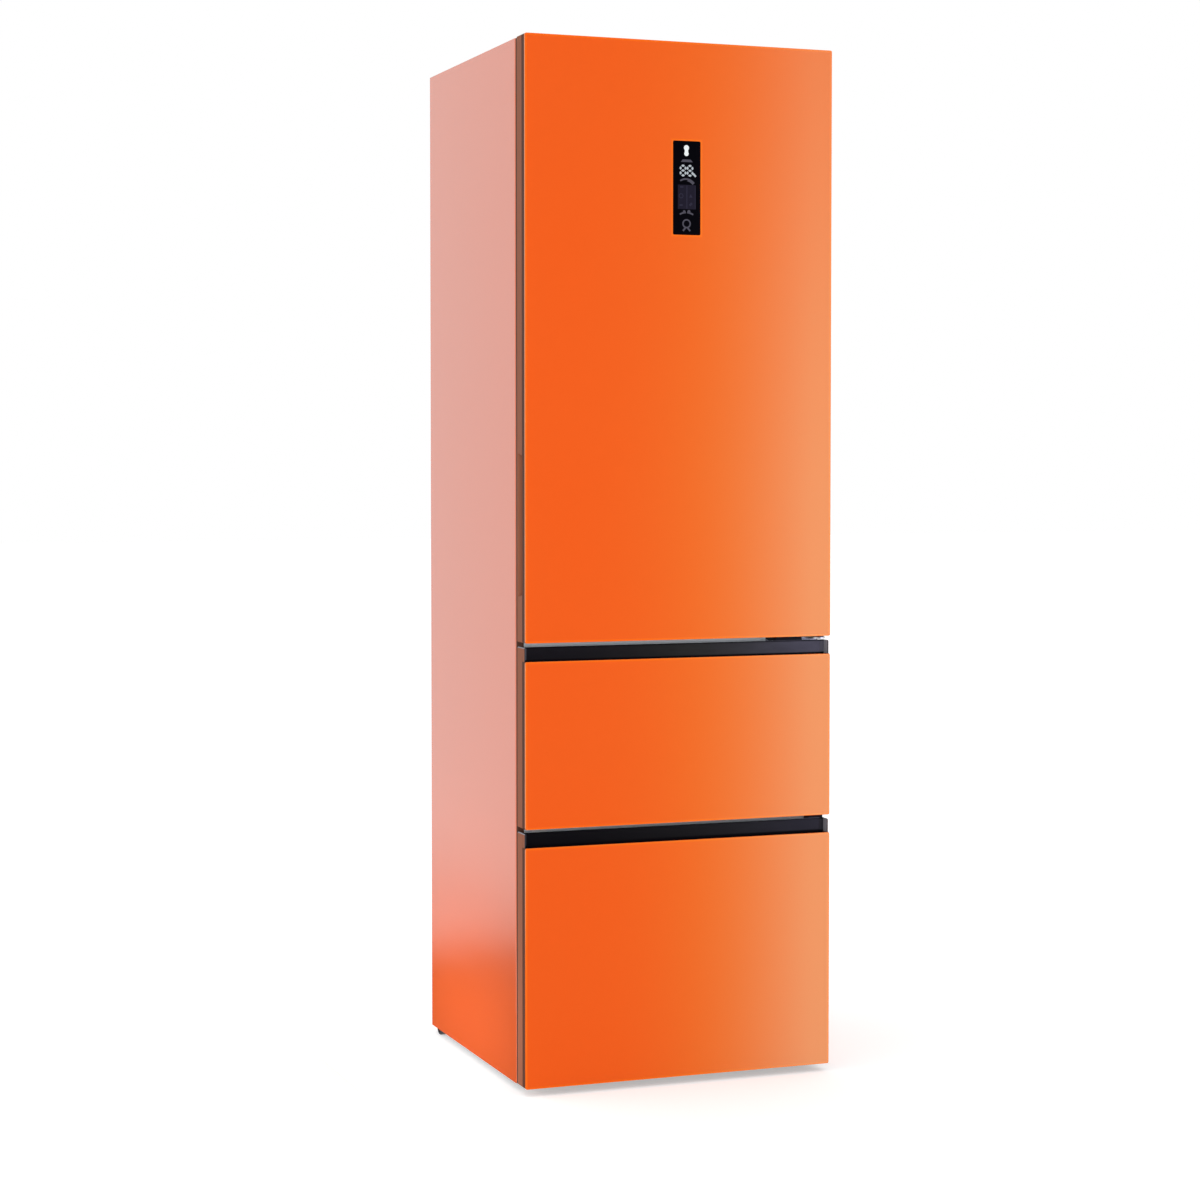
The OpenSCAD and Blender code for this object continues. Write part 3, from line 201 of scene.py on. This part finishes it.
def orange_glass():
    """Back-painted glass, with a painted highlight along its ground edges and around the window."""
    orange, duller, edge_highlight = (0.915, 0.112, 0.013), (0.895, 0.120, 0.016), (1.0, 0.150, 0.010)
    highlight_full_to, highlight_gone_from = 1.6 * mm, 5.0 * mm
    f = Finish("orange glass")
    x, z = f.axes("xz")
    cloud = f.noise(3.0)
    to_edge = half_width - x.size()
    for node in glass_panels:
        low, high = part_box(node)
        to_edge = to_edge.least((z - low[2]).size()).least((z - high[2]).size())
    beside, above = (x - window_middle.x).size(), (z - window_middle.z).size()
    to_window = (beside - window_half.x).most(above - window_half.z).size()
    # Within a few millimetres of the glass edges and of the window the colour turns brighter: a painted
    # highlight.
    edge = 1.0 - to_edge.least(to_window).between(highlight_full_to, highlight_gone_from)
    color = f.blend(edge, f.blend(cloud, orange, duller), edge_highlight)
    waves = f.noise(1.6, detail=1.0, rough=0.4)
    # The tint turns white reflections into a paler orange
    return f.shade(color=color, rough=cloud.span(0.03, 0.05), ior=1.9, tint=(0.05, 1.0, 0.38),
                   normal=f.bump(waves, depth=1.2 * mm, strength=0.35))


def painted_side():
    """Orange paint; the front flange is pale behind the seals, and painted dark bronze near the side as
    painted shade.
    """
    orange, lighter = (0.74, 0.118, 0.026), (0.77, 0.126, 0.030)
    # The dark bronze on the flange near the side is painted shade: the gaps between the fronts are in shadow
    # there.
    bronze, pale = (0.100, 0.042, 0.026), (0.74, 0.80, 0.86)
    flange_from, pale_from, flange_depth = 1 * mm, 15 * mm, 1.5 * mm
    peel_share = 0.01
    f = Finish("orange paint on steel")
    x, y = f.axes("xy")
    cloud = f.noise(2.0)
    inward = half_width - x.size()
    on_flange = (inward > flange_from) * (y < cabinet_front + flange_depth)
    # Painted shade on the flange near the side, pale further in.
    flange = f.blend(inward > pale_from, bronze, pale)
    color = f.blend(on_flange, f.blend(cloud, orange, lighter), flange)
    dents = f.noise(1.0, at=f.stretched((1.0, 1.6, 7.0)))
    peel = f.noise(900.0, detail=1.0)
    return f.shade(color=color, rough=cloud.span(0.24, 0.29), coat=0.8, coat_rough=0.18,
                   tint=(1.0, 1.0, 0.92),
                   normal=f.bump(dents + peel * peel_share, depth=3 * mm, strength=0.5))


def bronze_trim():
    """Dark strip next to the glass, bronze behind it; inside, the bands' caps are black at the front and
    painted grey deeper in, a painted sheen like the band's.
    """
    dark_strip = (0.096, 0.040, 0.027), (0.114, 0.048, 0.034)
    bronze_paint = (0.282, 0.102, 0.056), (0.312, 0.118, 0.067)
    cap_black, cap_painted_sheen = (0.05, 0.05, 0.06), (0.34, 0.34, 0.38)
    bronze_from, cap_sheen_from = glass_back + 14 * mm, glass_back + 4 * mm
    skin_depth = 0.3 * mm
    f = Finish("bronze paint on profile")
    x, y, z = f.axes()
    on_cap = sum((z - (low + high) / 2).size() < (high - low) / 2 for low, high in bands)
    streaks = f.noise(60.0, at=f.stretched((12.0, 12.0, 0.25)))
    bronze = f.blend(streaks, *bronze_paint)
    profile = f.blend(y > bronze_from, f.blend(streaks, *dark_strip), bronze)
    # Behind its front edge the cap's inner face is painted grey, a painted sheen.
    inside = f.blend(y > cap_sheen_from, cap_black, cap_painted_sheen)
    cap = f.blend(x.size() > half_width - skin_depth, inside, bronze)
    return f.shade(color=f.blend(on_cap, profile, cap), rough=streaks.span(0.42, 0.54), gloss=0.03,
                   normal=f.bump(streaks, depth=0.05 * mm, strength=0.4))


def black_plastic():
    """Black moulding; on the grip bands a painted sheen in lighter colour and coat, stronger on the upper
    band, fading out to painted shade lines at each band's top and bottom, and painted grey near the ends;
    smooth on the bands' tops.
    """
    # The lighter black is painted sheen; the two shares below set how much painted sheen the upper and the
    # lower band get.
    deep, sheen_black, end_sheen_grey = (0.0035, 0.0030, 0.0045), (0.0150, 0.0135, 0.0190), (0.11, 0.11, 0.14)
    band_sheen_shares = 0.58, 0.15
    band_sheen_from, band_sheen_full = 1.0 * mm, 3.2 * mm
    top_depth, end_width = 0.3 * mm, 9.5 * mm
    end_sheen_gain, top_polish = 1.4, 0.9
    f = Finish("black plastic")
    x, z = f.axes("xz")
    cloud = f.noise(9.0)
    streaks = f.noise(30.0, detail=3.0, at=f.stretched((1.0, 1.0, 4.0))).span(0.7, 1.3)
    # Painted sheen, fading out near each band's top and bottom edge so that these read as painted shade
    # lines.
    band_sheen = sum((z - low).least(high - z).between(band_sheen_from, band_sheen_full) * streaks * share
                for (low, high), share in zip(bands, band_sheen_shares))
    top = sum((z - high).size() < top_depth for _, high in bands)
    # Near the caps the band is painted grey, a painted sheen.
    ends = band_sheen * (half_width - x.size() < end_width)
    color = f.blend(ends * end_sheen_gain, f.blend(band_sheen, deep, sheen_black), end_sheen_grey)
    grain = f.noise(1400.0)
    return f.shade(color=color, rough=cloud.span(0.22, 0.28) * (1.0 - top * top_polish), gloss=0.08,
                   coat=band_sheen.most(top), coat_rough=0.08,
                   normal=f.bump(grain, depth=0.03 * mm, strength=0.4))


def liner_white():
    """Vacuum-formed plastic with a faint orange peel."""
    f = Finish("white liner")
    peel = f.noise(260.0, detail=1.0)
    return f.mottled(f.noise(4.0), colors=((0.83, 0.85, 0.86), (0.87, 0.88, 0.89)), rough=(0.26, 0.36),
                     normal=f.bump(peel, depth=0.12 * mm, strength=0.5))


def light_grey():
    f = Finish("light grey plastic")
    return f.mottled(f.noise(20.0), colors=((0.72, 0.79, 0.85), (0.77, 0.83, 0.89)), rough=(0.35, 0.45))


def gasket_grey():
    """Soft seal with bellows lines that run around it."""
    fold_pitch = 1.9 * mm
    f = Finish("grey seal")
    (y,) = f.axes("y")
    return f.mottled(f.noise(30.0), colors=((0.47, 0.49, 0.52), (0.53, 0.55, 0.58)), rough=(0.6, 0.7),
                     normal=f.bump(y.ripple(fold_pitch), depth=0.3 * mm, strength=0.6))


def zinc_sheet():
    """Zinc-coated sheet with its faint crystals."""
    crystals_per_metre = 90.0
    f = Finish("zinc-coated steel")
    cells = f.node("ShaderNodeTexVoronoi", {"feature": "F1"},
                   {"Vector": f.place(), "Scale": crystals_per_metre}, "Color")
    tone = f.node("ShaderNodeSeparateColor", values={"Color": cells})
    return f.mottled(tone, colors=((0.60, 0.62, 0.64), (0.67, 0.69, 0.71)), rough=(0.32, 0.42), metal=0.85)


def base_paint():
    f = Finish("dark grey paint")
    return f.mottled(f.noise(8.0), colors=((0.050, 0.052, 0.056), (0.066, 0.068, 0.072)), rough=(0.45, 0.60))


def foam():
    """Open cells, as at a cut edge."""
    cell, wall = (0.60, 0.47, 0.22), (0.80, 0.68, 0.38)
    f = Finish("insulating foam")
    cells = f.noise(220.0, detail=4.0, rough=0.7)
    return f.shade(color=f.blend(cells, cell, wall), rough=0.9,
                   normal=f.bump(cells, depth=0.8 * mm, strength=0.8))


def compressor_black():
    f = Finish("black enamel")
    peel = f.noise(120.0)
    return f.mottled(peel, colors=((0.010, 0.010, 0.011), (0.018, 0.018, 0.020)), rough=(0.16, 0.31),
                     coat=0.4, normal=f.bump(peel, depth=0.2 * mm, strength=0.4))


def copper():
    """Pipe with darker stains."""
    bright, stained = (0.70, 0.30, 0.17), (0.42, 0.17, 0.10)
    stain_from, stain_full = 0.35, 0.7
    f = Finish("copper pipe")
    stain = f.noise(35.0, detail=3.0)
    return f.shade(color=f.blend(stain.between(stain_from, stain_full), bright, stained),
                   rough=stain.span(0.2, 0.45), metal=1.0)


def fin_aluminium():
    f = Finish("fin aluminium")
    return f.mottled(f.noise(50.0), colors=((0.68, 0.69, 0.70), (0.76, 0.77, 0.78)), rough=(0.3, 0.5),
                     metal=1.0)


def lamp_cover():
    """Milky cover over a row of small lamps."""
    cover, dim = (0.92, 0.94, 0.95), (0.80, 0.90, 1.0)
    lamp_pitch = 20 * mm
    dot_from, dot_full = 0.2, 1.0
    f = Finish("lamp cover")
    (x,) = f.axes("x")
    dots = x.ripple(lamp_pitch).between(dot_from, dot_full)
    return f.shade(color=cover, rough=0.4, glow_color=f.blend(dots, dim, white), glow=1.2)


def shelf_glass():
    """Clear pane whose edges look green."""
    f = Finish("shelf glass")
    return f.shade(color=f.blend(f.noise(5.0), (0.90, 0.97, 0.95), (0.93, 0.98, 0.97)),
                   rough=0.02, clear=1.0, ior=1.5)


def clear_plastic():
    """Frosted plastic of the drawers, baskets and door shelves."""
    f = Finish("frosted clear plastic")
    frost = f.noise(700.0)
    return f.mottled(f.noise(6.0), colors=((0.86, 0.92, 0.95), (0.90, 0.95, 0.97)), rough=(0.12, 0.20),
                     clear=0.85, ior=1.46, normal=f.bump(frost, depth=0.05 * mm, strength=0.5))


def lid_plastic():
    f = Finish("smoky clear plastic")
    return f.shade(color=f.blend(f.noise(6.0), (0.72, 0.82, 0.88), (0.78, 0.86, 0.91)),
                   rough=0.1, clear=0.8, ior=1.46)


def display_black():
    f = Finish("display black")
    return f.mottled(f.noise(12.0), colors=((0.0008, 0.0006, 0.0020), (0.0016, 0.0013, 0.0034)),
                     rough=(0.10, 0.13), gloss=0.05)


def roller_black():
    """Hard black plastic with pale scuffs."""
    f = Finish("hard black plastic")
    scuffs = f.noise(160.0, detail=3.0)
    return f.mottled(scuffs, colors=((0.016, 0.016, 0.018), (0.045, 0.045, 0.048)), rough=(0.35, 0.65))


def lit(name, color):
    """A lit symbol, a little uneven."""
    unlit = (0.001, 0.001, 0.002), (0.003, 0.003, 0.004)
    dim_share = 0.8
    dimmer = tuple(channel * dim_share for channel in color)
    f = Finish(name)
    cloud = f.noise(260.0)
    return f.shade(color=f.blend(cloud, *unlit), rough=0.2, gloss=0.12,
                   glow_color=f.blend(cloud, dimmer, color), glow=1.0)


finishes = {
    "painted_side": painted_side, "zinc_sheet": zinc_sheet, "base_paint": base_paint, "foam": foam,
    "liner_white": liner_white, "light_grey": light_grey, "gasket_grey": gasket_grey,
    "compressor_black": compressor_black, "copper": copper, "black_plastic": black_plastic,
    "lamp": lamp_cover, "shelf_glass": shelf_glass, "fin_aluminium": fin_aluminium,
    "roller": roller_black, "clear_plastic": clear_plastic, "lid_plastic": lid_plastic,
    "orange_glass": orange_glass, "display": display_black, "bronze_trim": bronze_trim,
}


def dress_parts():
    made = {slot: build() for slot, build in finishes.items()}
    for row in frame["record"]["subparts"]:
        part = frame["nodes"][row["node"]]
        part.data.materials.clear()
        part.data.materials.append(made[row["material_slot"]])


# Objects

def new_object(name, data):
    made = bpy.data.objects.new(name, data)
    bpy.context.scene.collection.objects.link(made)
    return made


def from_bmesh(name, mesh, material):
    data = bpy.data.meshes.new(name)
    mesh.to_mesh(data)
    mesh.free()
    data.materials.append(material)
    return new_object(name, data)


# Front glasses with ground edges

def ground_glass():
    weld, flat = 0.01 * mm, math.radians(0.5)
    on_face, sharp = 0.05 * mm, math.radians(45)
    ground_width, steps = 0.9 * mm, 3
    for node, body in glass_panels.items():
        source = frame["nodes"][node]
        mesh = bmesh.new()
        mesh.from_mesh(source.data)
        bmesh.ops.remove_doubles(mesh, verts=mesh.verts, dist=weld)
        bmesh.ops.dissolve_limit(mesh, angle_limit=flat, verts=mesh.verts, edges=mesh.edges)
        front = [edge for edge in mesh.edges
                 if all(abs(v.co.y - face_y) < on_face for v in edge.verts)
                 and edge.calc_face_angle(0.0) > sharp]
        bmesh.ops.bevel(mesh, geom=front, offset=ground_width, segments=steps, profile=0.5,
                        affect="EDGES", clamp_overlap=True)
        for face in mesh.faces:
            face.smooth = False
        made = from_bmesh(node + "_ground", mesh, source.data.materials[0])
        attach(made, body)
        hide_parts(node)


# Display symbols: flat outlines, in millimetres from the middle of the window

def on_circle(x, z, r, angle):
    return (x + r * math.cos(angle), z + r * math.sin(angle))


def disc(x, z, r, sides=24):
    return [on_circle(x, z, r, 2 * math.pi * k / sides) for k in range(sides)]


def arc(x, z, r, width, start, stop, steps):
    """Plates along a circle, between two angles in degrees."""
    angles = [math.radians(start + (stop - start) * k / steps) for k in range(steps + 1)]
    inner, outer = r - width / 2, r + width / 2
    return [[on_circle(x, z, inner, a), on_circle(x, z, outer, a),
             on_circle(x, z, outer, b), on_circle(x, z, inner, b)] for a, b in zip(angles, angles[1:])]


def bar(x0, z0, x1, z1, width):
    """Stroke with square ends."""
    run = Vector((x1 - x0, z1 - z0))
    side = Vector((-run.y, run.x)).normalized() * (width / 2)
    return [(x0 + side.x, z0 + side.y), (x0 - side.x, z0 - side.y),
            (x1 - side.x, z1 - side.y), (x1 + side.x, z1 + side.y)]


def segment(x0, z0, x1, z1, width):
    """Stroke with pointed ends, as in a digit."""
    run = Vector((x1 - x0, z1 - z0)).normalized() * (width / 2)
    side = Vector((-run.y, run.x))
    a, b = Vector((x0, z0)), Vector((x1, z1))
    return [tuple(p) for p in (a, a + run - side, b - run - side, b, b - run + side, a + run + side)]


def digit_eight(x, z, wide, high, width):
    """All seven segments of a digit, with gaps in proportion to their width."""
    gap_share = 0.35
    half_w, half_h = wide / 2, high / 2
    gap = gap_share * width
    level_strokes = [segment(x - half_w + gap, z + level, x + half_w - gap, z + level, width)
                     for level in (-half_h, 0.0, half_h)]
    upright_strokes = [segment(x + side, z + z0 + gap, x + side, z + z1 - gap, width)
                       for side in (-half_w, half_w) for z0, z1 in ((-half_h, 0.0), (0.0, half_h))]
    return level_strokes + upright_strokes


def symbols(name, outlines, material, lift=0.0):
    """Thin plates with the given outlines, a hair in front of the window."""
    proud, sink = 0.05 * mm, 0.2 * mm
    front_y, back_y = face_y - proud - lift, face_y + sink
    mesh = bmesh.new()
    for outline in outlines:
        front = [mesh.verts.new((window_middle.x + x * mm, front_y, window_middle.z + z * mm))
                 for x, z in outline]
        back = [mesh.verts.new((v.co.x, back_y, v.co.z)) for v in front]
        mesh.faces.new(front)
        mesh.faces.new(list(reversed(back)))
        for k in range(len(front)):
            following = (k + 1) % len(front)
            mesh.faces.new((front[following], front[k], back[k], back[following]))
    bmesh.ops.recalc_face_normals(mesh, faces=mesh.faces)
    made = from_bmesh(name, mesh, material)
    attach(made, "fridge_door")


def signal():
    """Drop at the head of the window."""
    x = -0.7
    return [disc(x, 71.8, 5.0), disc(x, 61.4, 4.3), bar(x, 59.0, x, 72.0, 6.6)]


def number():
    """Two eights and a tail."""
    z, wide, high, stroke = 31.0, 9.4, 17.4, 3.7
    left_x, right_x = -7.3, 6.2
    tail = bar(12.2, 26.0, 17.6, 20.8, 3.6)
    return digit_eight(left_x, z, wide, high, stroke) + digit_eight(right_x, z, wide, high, stroke) + [tail]


def marks():
    """A plain caption, arcs above and below the dim area, two dots, and a ring with legs at the foot."""
    caption = [(-11.5, 46.4), (11.5, 46.4), (7.5, 51.0), (-8.0, 51.0)]
    crescent = arc(-1.5, -4.0, 20.0, 3.0, 80, 124, 8) + arc(-1.5, -4.0, 18.8, 5.4, 38, 80, 8)
    low_arcs = arc(-0.5, -70.0, 26.0, 2.8, 60, 87, 5) + arc(-0.5, -70.0, 26.0, 2.8, 93, 120, 5)
    dots = [disc(-5.0, -42.6, 2.6, 12), disc(4.2, -42.2, 3.0, 12)]
    ring = arc(-0.3, -64.0, 7.0, 2.6, 0, 360, 26)
    ring_legs = [bar(-2.0, -71.0, -7.4, -77.0, 3.2), bar(1.4, -71.0, 6.6, -77.0, 3.2)]
    return [caption] + crescent + low_arcs + dots + ring + ring_legs


def dim_area():
    """Dim area behind the unlit signs."""
    low, high, wide = -38.0, 5.5, 34.5
    return [bar(0.0, low, 0.0, high, wide)]


def unlit_signs():
    """Unlit signs in two columns, with a line between them and one at the right."""
    low, high = -37.0, 4.5
    lines = [bar(0.2, low, 0.2, high, 1.6), bar(16.6, low, 16.6, high, 1.0)]
    dashes = [bar(-13.0, 1.5, -6.5, 1.5, 2.4), bar(-14.0, -31.0, -8.0, -31.0, 3.0),
              bar(5.5, -31.5, 10.0, -27.0, 4.0)]
    ring = arc(-11.0, -14.4, 3.8, 1.5, 0, 360, 16)
    triangle = [(4.6, -17.0), (11.0, -17.0), (7.8, -10.6)]
    return lines + dashes + ring + [triangle]


def display_symbols():
    signs_lift = 0.02 * mm
    symbols("display_signal", signal(), lit("lit white", (0.95, 1.0, 1.0)))
    symbols("display_number", number(), lit("lit pale", (0.52, 0.57, 0.61)))
    symbols("display_marks", marks(), lit("lit faint", (0.085, 0.080, 0.105)))
    symbols("display_field", dim_area(), lit("lit deep", (0.0108, 0.0085, 0.0195)))
    symbols("display_signs", unlit_signs(), lit("lit violet", (0.027, 0.024, 0.046)), signs_lift)


# Camera and studio

def camera():
    """A slight tilt takes up part of the photo's shift, so that the views from other sides stay in frame."""
    photo_width, shift_px, focal_px = 1200, 44.0, 2624.7
    sensor, farthest = 36.0, 200.0
    turn, tilt = math.radians(20.429), math.radians(2.170)
    data = bpy.data.cameras.new("camera")
    data.sensor_width = sensor
    data.lens = sensor * focal_px / photo_width
    data.shift_y = -shift_px / photo_width
    data.clip_end = farthest
    made = new_object("camera", data)
    made.location = (-1.7924, -4.7041, 1.1421)
    made.rotation_euler = (math.pi / 2 - tilt, 0.0, -turn)
    bpy.context.scene.camera = made


def sky():
    """Soft white fill, and full white where the camera, a reflection or a clear piece shows it."""
    fill_strength = 0.82
    world = bpy.data.worlds.new("studio")
    bpy.context.scene.world = world
    world.use_nodes = True
    nodes = Nodes(world.node_tree)
    rays = nodes.node("ShaderNodeLightPath").socket.node.outputs
    seen = Field(nodes, rays["Is Camera Ray"]).most(Field(nodes, rays["Is Glossy Ray"]))
    seen = seen.most(Field(nodes, rays["Is Transmission Ray"]))
    fill = nodes.node("ShaderNodeBackground", values={"Color": white, "Strength": fill_strength})
    full = nodes.node("ShaderNodeBackground", values={"Color": white})
    nodes.end(nodes.mix_shaders(seen, fill, full), "ShaderNodeOutputWorld")


def stage_sheet(name, corners, material):
    mesh = bpy.data.meshes.new(name)
    mesh.from_pydata(corners, [], [(0, 1, 2, 3)])
    mesh.materials.append(material)
    made = new_object(name, mesh)
    return made


def level_sheet(name, left, right, front, back, z, material):
    corners = [(left, front, z), (right, front, z), (right, back, z), (left, back, z)]
    return stage_sheet(name, corners, material)


def upright_sheet(name, left, right, low, top, y, material):
    corners = [(left, y, low), (right, y, low), (right, y, top), (left, y, top)]
    return stage_sheet(name, corners, material)


def floor():
    """Takes the shadow, is lifted to white for the camera, and stays out of reflections."""
    reach, lift_to_white = 30.0, 0.36
    f = Finish("pale floor")
    seen_by_camera = f.node("ShaderNodeLightPath", out="Is Camera Ray")
    pale = f.shade(color=(0.93, 0.93, 0.93), rough=0.9, gloss=0.0, glow=lift_to_white,
                   glow_color=f.blend(seen_by_camera, black, white))
    level_sheet("floor", -reach, reach, -reach, reach, 0.0, pale).visible_glossy = False


def reflected_only(card):
    """A card that shows in reflections and nowhere else."""
    card.visible_camera = False
    card.visible_diffuse = False
    card.visible_transmission = False
    card.visible_shadow = False
    card.visible_volume_scatter = False


def right_card_glow(dark_at, full_at):
    """Rises along x, from a yellowish to a bluish white, and fades with height."""
    yellowish, bluish = (0.80, 0.86, 0.50), (0.90, 0.86, 1.26)
    blue_from, highest = 0.42, 0.80
    fade_from, fade_to, fade_share = 0.6, 3.4, 0.5
    strength = 5.0
    f = Finish("right card")
    x, z = f.axes("xz")
    along = ((x - dark_at) / (full_at - dark_at)).least(highest)
    level = 1.0 - z.between(fade_from, fade_to) * fade_share
    tone = f.blend(along.between(blue_from, highest), yellowish, bluish)
    return f.end(f.emit(f.blend(along * along * along * level, black, tone), strength))


def front_card_black(left, low, top):
    """Black, fading to nothing at the left, the bottom and the top."""
    fade = 1.8
    f = Finish("dark card")
    x, z = f.axes("xz")
    full = (x - left).between(0.0, fade) * (z - low).between(0.0, fade) * (top - z).between(0.0, fade)
    clear, dark = f.node("ShaderNodeBsdfTransparent"), f.emit(black, strength=0.0)
    return f.end(f.mix_shaders(full, clear, dark))


def low_card_glow(left):
    """Dark next to the panel; rises towards the left, and fast and then slowly towards the back."""
    left_from = 0.75
    fast_from, fast_to, fast_share = 0.88, 1.60, 0.58
    slow_from, slow_to, slow_share = 0.9, 4.2, 0.42
    f = Finish("low card")
    x, y = f.axes("xy")
    towards_back = y.between(fast_from, fast_to) * fast_share + y.between(slow_from, slow_to) * slow_share
    towards_left = (0.0 - x).between(left_from, -left)
    return f.end(f.emit(f.blend(towards_back.most(towards_left), black, white), strength=1.0))


def cards():
    """What the glass and the left side panel reflect. Sizes are in metres."""
    # In front of the object: dark in the middle, pale on the right
    y, low, top = -5.0, -2.5, 5.0
    dark_left, join, full_at, right = -3.0, 1.25, 2.75, 5.5
    reflected_only(upright_sheet("right card", join, right, low, top, y, right_card_glow(join, full_at)))
    reflected_only(upright_sheet("front card", dark_left, join, low, top, y,
                                 front_card_black(dark_left, low, top)))
    # Under the floor, to the left of the side panel
    left, panel, front, back, below = -1.15, -0.31, -0.26, 5.0, -0.02
    reflected_only(level_sheet("low card", left, panel, front, back, below, low_card_glow(left)))


def lamp(name, place, aim, size, watts):
    light = bpy.data.lights.new(name, "AREA")
    light.shape = "RECTANGLE"
    light.size, light.size_y = size
    light.energy = watts
    made = new_object(name, light)
    made.location = place
    made.rotation_euler = (Vector(aim) - Vector(place)).to_track_quat("-Z", "Y").to_euler()
    made.visible_camera = False
    made.visible_glossy = False


def studio():
    sky()
    floor()
    cards()
    lamp("key", place=(-1.3, -5.0, 0.95), aim=(0.0, -0.3, 0.85), size=(1.8, 0.9), watts=66.0)
    lamp("floor bounce", place=(-0.56, 0.04, 0.08), aim=(0.0, 0.04, 0.08), size=(0.62, 0.16), watts=1.05)
    bpy.context.scene.view_settings.view_transform = "Standard"


camera()
studio()
dress_parts()
ground_glass()
display_symbols()
